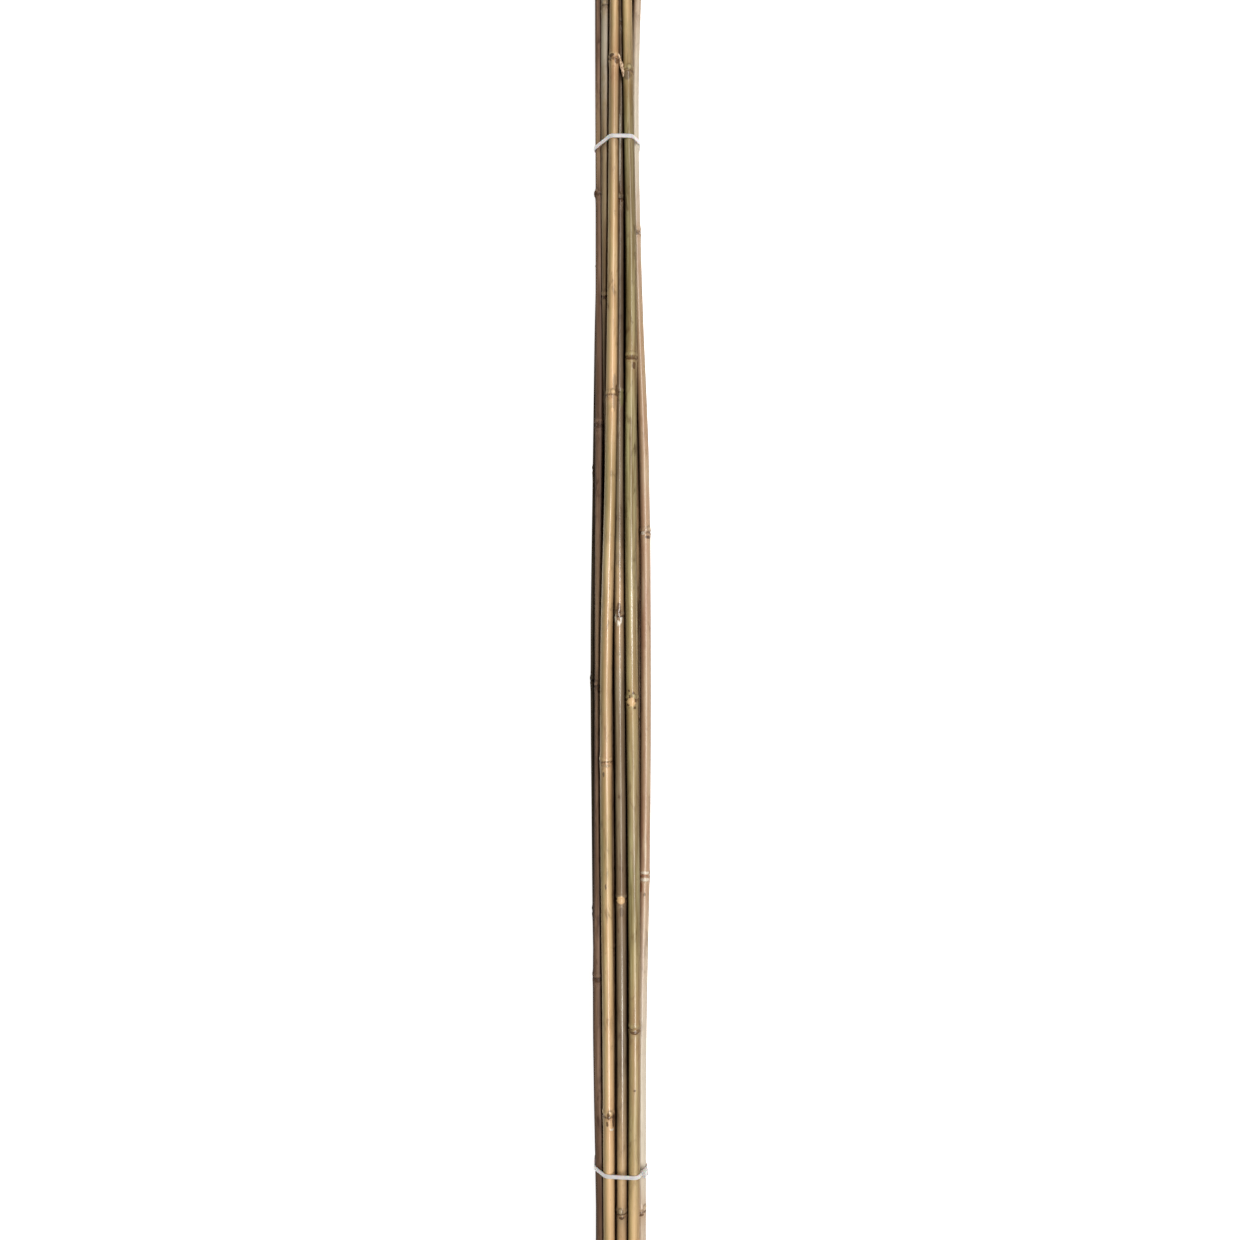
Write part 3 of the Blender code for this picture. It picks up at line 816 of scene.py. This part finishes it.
def skinMaterial(name):
    look = canes[name]
    graph = Graph(name + "_bamboo")
    skin = graph.kept("skin", 1)
    shift = (look["seed"] * 37.0, look["seed"] * 91.0, look["seed"] * 53.0)
    fibres = skin * (1.0, 0.02, 1.0) + shift
    broad = skin * (0.30, 0.012, 0.30) + shift
    blotches = skin * (0.16, 0.045, 0.16) + shift
    specks = skin * (1.0, 0.35, 1.0) + shift
    along = graph.node("SeparateXYZ", inputs={0: skin}, output=1)
    tones = {key: srgb(look[key]) for key in ("base", "light", "dark", "stain", "mould")}

    fibre = graph.noise(fibres, 2.4, 4.0, 0.62)
    streak = graph.noise(broad, 1.0, 3.0, 0.55)
    blotch = graph.noise(blotches, 1.0, 4.0, 0.6, 0.6)
    fine = graph.noise(specks, 0.9, 5.0, 0.7)

    colour = graph.mix(graph.step(streak, 0.35, 0.70), tones["base"], tones["light"])
    colour = graph.mix(graph.step(blotch, 0.54, 0.72) * 0.75, colour, tones["dark"])
    ragged = (blotch - 0.5) * 110.0 + (fine - 0.5) * 40.0
    for place, length, tone, strength in look["patches"]:
        patch = graph.near(along + ragged, float(place), float(length) * 1.4)
        colour = graph.mix(patch * strength, colour, srgb(bambooTones[tone]))
    colour = graph.mix(0.55, colour, colour * (fibre * 0.9 + 0.55))
    small = graph.noise(skin * (1.0, 0.8, 1.0) + shift, 0.75, 3.0, 0.6)
    stain = graph.kept("stain") * (0.25 + fine * 0.9)
    colour = graph.mix(stain * 0.8, colour, tones["stain"])
    colour = graph.mix(graph.kept("bloom") * graph.step(fine, 0.35, 0.62) * 0.5, colour, tones["light"])
    mould = graph.step(fine, 0.60, 0.70) * graph.step(blotch, 0.45, 0.62)
    colour = graph.mix(mould * 0.5, colour, tones["mould"])
    colour = graph.mix(graph.kept("ridge") * (small * 0.9 + 0.1), colour, tones["light"])
    colour = graph.mix(graph.kept("groove") * (0.3 + fine * 0.9), colour, tones["mould"])
    colour = graph.mix(graph.kept("lip") * graph.step(small, 0.34, 0.60) * 0.85, colour, bamboo["scar"])
    zone = graph.kept("zone")
    colour = graph.mix(zone * graph.step(small, 0.44, 0.60) * 0.5, colour, tones["stain"])
    colour = graph.mix(zone * graph.step(small, 0.56, 0.66) * 0.9, colour, tones["light"])
    colour = graph.mix(zone * graph.step(fine, 0.46, 0.36) * 0.9, colour, tones["mould"])
    colour = graph.mix(graph.kept("budRim") * 0.6, colour, tones["mould"])
    colour = graph.mix(graph.kept("bud") * 0.8, colour, tones["light"])
    # Spots: scars, rims and buds, and the few painted highlights and painted shades of the cane table
    spot = graph.step(graph.kept("spot") + (fine - 0.5) * 0.8 + (small - 0.5) * 0.5, 0.22, 0.62)
    colour = graph.mix(spot * 0.85, colour, graph.kept("spotTone", 1))
    # Painted shade on the left flank of each cane, as if the light came a little from the right; on some
    # canes the tint is a little greener too
    turned = graph.node("SeparateXYZ", inputs={0: skin}, output=0) * (1.0 / look["radius"])
    flank = graph.step(turned + (blotch - 0.5) * 1.6, 0.1, -0.7)
    colour = graph.mix(flank * look["flankShare"], colour, colour * look["flankTint"])
    # Painted shade: the colour darkens towards the painted shade colour where the other canes hide a point
    # from the light, as worked out for each point of the skin
    seen = graph.kept("seen")
    colour = colour * graph.mix(seen ** look["shade"], srgb(bamboo["paintedShade"]), (1.0, 1.0, 1.0))

    rough = look["gloss"] + (fine - 0.5) * 0.2 + mould * 0.2 + graph.kept("lip") * 0.3
    rough = rough + graph.step(seen, 0.4, 0.0) * 0.4
    height = fibre * 0.7 + fine * 0.5 - mould * 0.3
    normal = graph.bump(height, 0.2, 0.00012)
    shine = look["wax"]
    for place, length, more in look["shine"]:
        shine = graph.near(along + ragged * 0.5, float(place), float(length) * 1.4) * more + shine
    coat = (1.0 - mould * 0.5) * graph.step(seen, 0.4, 0.85) * shine
    wax = {"Coat_Weight": coat, "Coat_Roughness": look["waxRoughness"], "Coat_IOR": bamboo["waxIor"]}
    wax["Specular_IOR_Level"] = 0.0
    return graph.finish(colour, rough, normal, **wax)


def endGrain(name):
    # A cut end: pale ground with the dark dots of the fibre bundles, close together towards the skin
    look = canes[name]
    graph = Graph(name + "_end_grain")
    place = graph.place()
    dots = graph.node("TexVoronoi", {"feature": "F1"}, {"Vector": place * (1.0, 0.15, 1.0), "Scale": 2.2})
    grain = graph.noise(place, 0.8, 4.0, 0.6)
    pale = graph.mix(grain, srgb((206, 180, 138)), srgb((168, 138, 100)))
    colour = graph.mix(graph.step(dots, 0.22, 0.12) * 0.7, pale, srgb(look["dark"]))
    return graph.finish(colour, grain * 0.2 + 0.62, graph.bump(dots, 0.5, 0.0001))


def makeCanes():
    for name in canes:
        made = makeSkin(name)
        made.data.materials.append(skinMaterial(name))
        made.data.materials.append(endGrain(name))
        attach(made, "root")
        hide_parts(name)
    print("canes made:", len(canes))


# A trimmed branch at a node: middles from its root to its cut end and the radius there, in mm
branch = {
    "cane": "cane_top_3",
    "path": [
        (4.2, 584.0, 36.0, 1.5),
        (3.2, 587.0, 37.0, 1.7),
        (2.6, 590.0, 37.3, 1.5),
        (1.9, 593.0, 37.4, 1.9),
        (1.4, 595.5, 37.5, 2.1),
        (0.6, 598.0, 37.5, 1.4),
        (-0.2, 601.5, 37.8, 1.1),
        (-1.4, 605.5, 38.0, 0.9),
    ],
    "sides": 14,
    "pale": (240, 212, 178),
    "brown": (132, 94, 62),
}


def makeBranch():
    path = np.array(branch["path"])
    steps = np.linspace(0, len(path) - 1, 31)
    line = np.stack([np.interp(steps, range(len(path)), path[:, k]) for k in range(4)], axis=-1)
    sides = branch["sides"]
    verts = []
    for count, (x, y, z, radius) in enumerate(line):
        ahead = line[min(count + 1, len(line) - 1), :3] - line[max(count - 1, 0), :3]
        aside = np.cross(ahead, (0.0, 0.0, 1.0))
        aside /= np.linalg.norm(aside)
        upward = np.cross(aside, ahead)
        upward /= np.linalg.norm(upward)
        for k in range(sides):
            turn = 2 * math.pi * k / sides
            reach = radius * (1.0 + 0.06 * math.sin(3 * turn + count * 0.7))
            point = np.array((x, y, z)) + reach * (math.cos(turn) * aside + math.sin(turn) * upward)
            verts.append(tuple(point * mm))
    faces = []
    for ring in range(len(line) - 1):
        for k in range(sides):
            after = (k + 1) % sides
            corner = ring * sides
            faces.append((corner + k, corner + after, corner + sides + after, corner + sides + k))
    faces.append(tuple(range(sides))[::-1])
    faces.append(tuple(range((len(line) - 1) * sides, len(line) * sides)))
    mesh = bpy.data.meshes.new("trimmed_branch")
    mesh.from_pydata(verts, [], faces)
    mesh.update()
    mesh.shade_smooth()
    mesh.set_sharp_from_angle(angle=math.radians(50))
    made = bpy.data.objects.new("trimmed_branch", mesh)
    bpy.context.scene.collection.objects.link(made)
    graph = Graph("branch_skin")
    place = graph.place()
    fine = graph.noise(place * (1.0, 0.5, 1.0), 0.8, 3.0, 0.6)
    colour = graph.mix(graph.step(fine, 0.38, 0.6), srgb(branch["brown"]), srgb(branch["pale"]))
    made.data.materials.append(graph.finish(colour, fine * 0.3 + 0.3, graph.bump(fine, 0.4, 0.0003)))
    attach(made, "root")
    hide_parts(branch["cane"])
    print("trimmed branch made")


# Cable ties
tie = {
    "width": 3.8,
    "thickness": 1.2,
    "edge": 0.3,
    "toothStep": 1.25,
    "toothDepth": 0.22,
    "headLong": 7.4,
    "headWide": 6.8,
    "headTall": 5.0,
    "headReach": 7.0,  # from the head's middle to where the frame's tie is strap alone
    "colour": (222, 218, 217),
    "grime": (168, 156, 142),
    "roughness": 0.34,
}


def outlineOf(points):
    # The convex outline of flat points, counterclockwise
    points = sorted(set(map(tuple, np.round(points, 3))))

    def half(ordered):
        line = []
        for point in ordered:
            while len(line) > 1:
                a, b = line[-2], line[-1]
                if (b[0] - a[0]) * (point[1] - a[1]) - (b[1] - a[1]) * (point[0] - a[0]) > 1e-9:
                    break
                line.pop()
            line.append(point)
        return line[:-1]

    return np.array(half(points) + half(points[::-1]))


def evenly(outline, step):
    # Points at even steps round a closed outline, and the outward direction at each
    closed = np.concatenate((outline, outline[:1]))
    runs = np.linalg.norm(np.diff(closed, axis=0), axis=1)
    reached = np.concatenate(((0.0,), np.cumsum(runs)))
    count = int(round(reached[-1] / step))
    at = np.arange(count) * reached[-1] / count
    line = np.stack([np.interp(at, reached, closed[:, k]) for k in (0, 1)], axis=-1)
    weights = np.exp(-((np.arange(-6, 7) / 3.0) ** 2))
    weights /= weights.sum()
    padded = np.concatenate((line[-6:], line, line[:6]))
    soft = np.stack([np.convolve(padded[:, k], weights, mode="valid") for k in (0, 1)], axis=-1)
    tangent = np.roll(soft, -1, axis=0) - np.roll(soft, 1, axis=0)
    tangent /= np.linalg.norm(tangent, axis=1)[:, None]
    return line, np.stack((tangent[:, 1], -tangent[:, 0]), axis=-1)


def tieFacts(node):
    # The strap's outer outline, and where the head stands on it and how it is turned
    points = np.array([vert.co for vert in node.data.vertices]) / mm
    place = (points[:, 1].min() + points[:, 1].max()) / 2
    rim = points[np.abs(points[:, 1] - place - tie["width"] / 2) < 0.02][:, [0, 2]]
    block = points[np.abs(points[:, 1] - place) > tie["headWide"] / 2 - 0.05][:, [0, 2]]
    corners = np.unique(np.round(block, 2), axis=0)
    centre = corners.mean(axis=0)
    strapMiddle = (rim.min(axis=0) + rim.max(axis=0)) / 2
    loops = outlineOf(corners)
    best = None
    for a, b in zip(loops, np.roll(loops, -1, axis=0)):
        out = (a + b) / 2 - centre
        if best is None or out @ (centre - strapMiddle) / np.linalg.norm(out) > best[0]:
            best = (out @ (centre - strapMiddle) / np.linalg.norm(out), out / np.linalg.norm(out))
    inside = -tie["headTall"] / 2 + 1.0
    far = tie["headReach"]
    strapOnly = [p for p in rim if (p - centre) @ best[1] < inside or np.linalg.norm(p - centre) > far]
    return place, outlineOf(np.array(strapOnly)), centre, best[1]


def makeStrap(name, place, outline):
    line, outward = evenly(outline, tie["toothStep"] / 4)
    width, thick, edge = tie["width"] / 2, tie["thickness"], tie["edge"]
    section = [(-width + edge, 0.0), (-width + edge * 0.3, -edge * 0.3)]
    section += [(-width, -edge), (-width, -thick + edge)]
    section += [(-width + edge * 0.3, -thick + edge * 0.3), (-width + edge * 1.6, -thick)]
    section += [(width - edge * 1.6, -thick), (width - edge * 0.3, -thick + edge * 0.3)]
    section += [(width, -thick + edge), (width, -edge)]
    section += [(width - edge * 0.3, -edge * 0.3), (width - edge, 0.0)]
    section += [(0.45 * width, 0.0), (0.40 * width, -0.10), (-0.40 * width, -0.10), (-0.45 * width, 0.0)]
    verts = []
    for count, (point, out) in enumerate(zip(line, outward)):
        tooth = tie["toothDepth"] * (count % 4) / 3.0
        for side, height in section:
            inside = height < -thick + 0.01 and abs(side) < width - edge
            lift = height + (tooth if inside else 0.0)
            across = point[0] + out[0] * lift
            above = point[1] + out[1] * lift
            verts.append((across * mm, (place + side) * mm, above * mm))
    size = len(section)
    total = len(line)
    faces = []
    for ring in range(total):
        following = (ring + 1) % total
        for k in range(size):
            after = (k + 1) % size
            here = ring * size
            there = following * size
            faces.append((here + k, here + after, there + after, there + k))
    mesh = bpy.data.meshes.new(name)
    mesh.from_pydata(verts, [], faces)
    mesh.update()
    mesh.shade_smooth()
    mesh.set_sharp_from_angle(angle=math.radians(35))
    made = bpy.data.objects.new(name, mesh)
    bpy.context.scene.collection.objects.link(made)
    return made


def block(name, size, bevel):
    # A box with rounded edges, its size in millimetres
    mesh = bpy.data.meshes.new(name)
    x, y, z = (value * mm / 2 for value in size)
    corners = [(sx * x, sy * y, sz * z) for sx in (-1, 1) for sy in (-1, 1) for sz in (-1, 1)]
    faces = [(0, 1, 3, 2), (4, 6, 7, 5), (0, 4, 5, 1), (2, 3, 7, 6), (0, 2, 6, 4), (1, 5, 7, 3)]
    mesh.from_pydata(corners, [], faces)
    mesh.update()
    made = bpy.data.objects.new(name, mesh)
    bpy.context.scene.collection.objects.link(made)
    if bevel:
        soften = made.modifiers.new("edges", "BEVEL")
        soften.width = bevel * mm
        soften.segments = 3
    return made


def settleModifiers(made):
    bpy.context.view_layer.update()
    ready = bpy.data.meshes.new_from_object(made.evaluated_get(bpy.context.evaluated_depsgraph_get()))
    made.modifiers.clear()
    made.data = ready


def makeHead(name, place, centre, out):
    # The ratchet's box: a slot through it for the strap, a pawl in the slot and the cut tail
    head = block(name, (tie["headTall"], tie["headWide"], tie["headLong"]), 0.9)
    slot = block(name + "_slot", (2.0, tie["width"] + 0.5, tie["headLong"] * 2), 0.2)
    slot.location = (0.6 * mm, 0.0, 0.0)
    dent = block(name + "_dent", (1.2, 2.6, 2.9), 0.2)
    dent.location = (tie["headTall"] / 2 * mm, 0.0, -0.8 * mm)
    for cutter in (slot, dent):
        settleModifiers(cutter)
        cut = head.modifiers.new("cut", "BOOLEAN")
        cut.operation = "DIFFERENCE"
        cut.object = cutter
    settleModifiers(head)
    for cutter in (slot, dent):
        bpy.data.objects.remove(cutter, do_unlink=True)
    tail = block(name + "_tail", (1.2, tie["width"], tie["headLong"] + 1.6), 0.25)
    tail.location = (0.6 * mm, 0.0, 0.0)
    pawl = block(name + "_pawl", (0.8, 2.2, 2.1), 0.15)
    pawl.location = ((tie["headTall"] / 2 - 0.7) * mm, 0.0, -0.8 * mm)
    pawl.rotation_euler.y = math.radians(12)
    parts = [head, tail, pawl]
    for part in parts[1:]:
        settleModifiers(part)
    bpy.context.view_layer.update()
    turn = math.atan2(out[1], out[0])
    for part in parts:
        mesh = part.data
        mesh.transform(part.matrix_basis)
        part.matrix_basis.identity()
        co = np.array([vert.co for vert in mesh.vertices])
        across = centre[0] * mm + co[:, 0] * math.cos(turn) - co[:, 2] * math.sin(turn)
        above = centre[1] * mm + co[:, 0] * math.sin(turn) + co[:, 2] * math.cos(turn)
        moved = np.stack((across, place * mm + co[:, 1], above), axis=-1)
        mesh.vertices.foreach_set("co", moved.reshape(-1))
        mesh.flip_normals()
        mesh.update()
        mesh.shade_smooth()
        mesh.set_sharp_from_angle(angle=math.radians(35))
    return parts


def nylon():
    graph = Graph("white_nylon")
    place = graph.place()
    cloud = graph.noise(place, 0.22, 3.0, 0.55)
    fine = graph.noise(place, 2.6, 4.0, 0.65)
    colour = graph.mix(graph.step(cloud, 0.3, 0.75) * 0.35, srgb(tie["colour"]), srgb((186, 186, 194)))
    colour = graph.mix(graph.step(fine, 0.56, 0.72) * 0.3, colour, srgb(tie["grime"]))
    rough = tie["roughness"] + (fine - 0.5) * 0.22
    normal = graph.bump(fine, 0.2, 0.0001)
    return graph.finish(colour, rough, normal, Subsurface_Weight=0.25, Subsurface_Scale=0.002)


def makeTies():
    finish = nylon()
    for name in ("cable_tie_tip", "cable_tie_butt"):
        place, outline, centre, out = tieFacts(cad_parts[name])
        parts = [makeStrap(name + "_strap", place, outline)] + makeHead(name + "_head", place, centre, out)
        for part in parts:
            part.data.materials.append(finish)
            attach(part, "root")
            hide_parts(name)
    print("cable ties made")


def hiddenFloor(rows):
    # How far to the left and to the right the bundle hides the floor from the camera, row by row
    height = (cadBox[1][2] + stageLook["cameraAbove"]) / mm
    along = stageLook["cameraAlong"] / mm
    sides = []
    for name in canes:
        rings = frameCanes[name][0]
        share = height / (height - rings[:, 2])
        seen = along + (rings[:, 0] - along) * share
        for sign in (-1, 1):
            sides.append(np.interp(rows, seen, (rings[:, 1] + sign * rings[:, 3]) * share))
    return np.min(sides, axis=0), np.max(sides, axis=0)


def makeFloor():
    # A plain floor that glows beside the bundle but not under it, where light would leak between canes
    half = stageLook["floorSize"] / 2 / mm
    rows = np.concatenate(([-half, -765.0], np.arange(-750.0, 751.0, 25.0), [765.0, half]))
    left, right = hiddenFloor(rows)
    ends = np.full(len(rows), half)
    fade = stageLook["floorFade"]
    columns = [-ends, left - 0.4, left + fade, right - fade, right + 0.4, ends]
    beside = np.tile((1.0, 1.0, 0.0, 0.0, 1.0, 1.0), (len(rows), 1))
    beside[np.abs(rows) > 760.0] = 1.0
    wide = len(columns)
    verts = [(x * mm, rows[k] * mm, 0.0) for k in range(len(rows)) for x in (column[k] for column in columns)]
    faces = []
    for row in range(len(rows) - 1):
        for column in range(wide - 1):
            corner = row * wide + column
            faces.append((corner, corner + 1, corner + wide + 1, corner + wide))
    mesh = bpy.data.meshes.new("floor")
    mesh.from_pydata(verts, [], faces)
    mesh.attributes.new("beside", "FLOAT", "POINT").data.foreach_set("value", beside.reshape(-1))
    mesh.update()
    floor = bpy.data.objects.new("floor", mesh)
    bpy.context.scene.collection.objects.link(floor)
    return floor


def makeStage():
    floor = makeFloor()
    graph = Graph("pale_floor")
    tone = graph.noise(graph.place(), 0.004, 2.0)
    colour = graph.mix(tone, srgb(stageLook["floorColour"]), srgb((246, 245, 244)))
    glow = {"Emission_Color": colour * graph.kept("beside"), "Emission_Strength": stageLook["floorGlow"]}
    floor.data.materials.append(graph.finish(colour, 0.9 + tone * 0.05, Specular_IOR_Level=0.1, **glow))

    lamp = bpy.data.lights.new("long_soft_box", "AREA")
    lamp.shape = "RECTANGLE"
    lamp.size, lamp.size_y = stageLook["lampSize"]
    lamp.energy = stageLook["lampPower"]
    lamp.color = stageLook["lampColour"]
    lampObject = bpy.data.objects.new("long_soft_box", lamp)
    lampObject.location = (stageLook["lampAcross"], stageLook["cameraAlong"], stageLook["lampHeight"])
    lampObject.rotation_euler.y = math.atan2(stageLook["lampAcross"], stageLook["lampHeight"])
    bpy.context.scene.collection.objects.link(lampObject)

    world = bpy.data.worlds.new("studio")
    bpy.context.scene.world = world
    world.use_nodes = True
    background = world.node_tree.nodes["Background"]
    background.inputs["Color"].default_value = (*stageLook["worldColour"], 1.0)
    path = world.node_tree.nodes.new("ShaderNodeLightPath")
    strength = world.node_tree.nodes.new("ShaderNodeMapRange")
    strength.inputs["To Min"].default_value = stageLook["worldStrength"]
    strength.inputs["To Max"].default_value = stageLook["backdropStrength"]
    world.node_tree.links.new(path.outputs["Is Camera Ray"], strength.inputs["Value"])
    world.node_tree.links.new(strength.outputs["Result"], background.inputs["Strength"])

    camera = bpy.data.cameras.new("camera")
    above = stageLook["cameraAbove"]
    camera.sensor_width = 36.0
    camera.lens = 36.0 * above / stageLook["seenWidth"]
    camera.clip_start = 0.01
    cameraObject = bpy.data.objects.new("camera", camera)
    height = cadBox[1][2] - 0.0015 + above
    cameraObject.location = (stageLook["cameraAcross"], stageLook["cameraAlong"], height)
    bpy.context.scene.collection.objects.link(cameraObject)
    bpy.context.scene.camera = cameraObject
    bpy.context.scene.view_settings.view_transform = "Standard"
    print("stage, light and camera made")


makeStage()
makeCanes()
makeBranch()
makeTies()
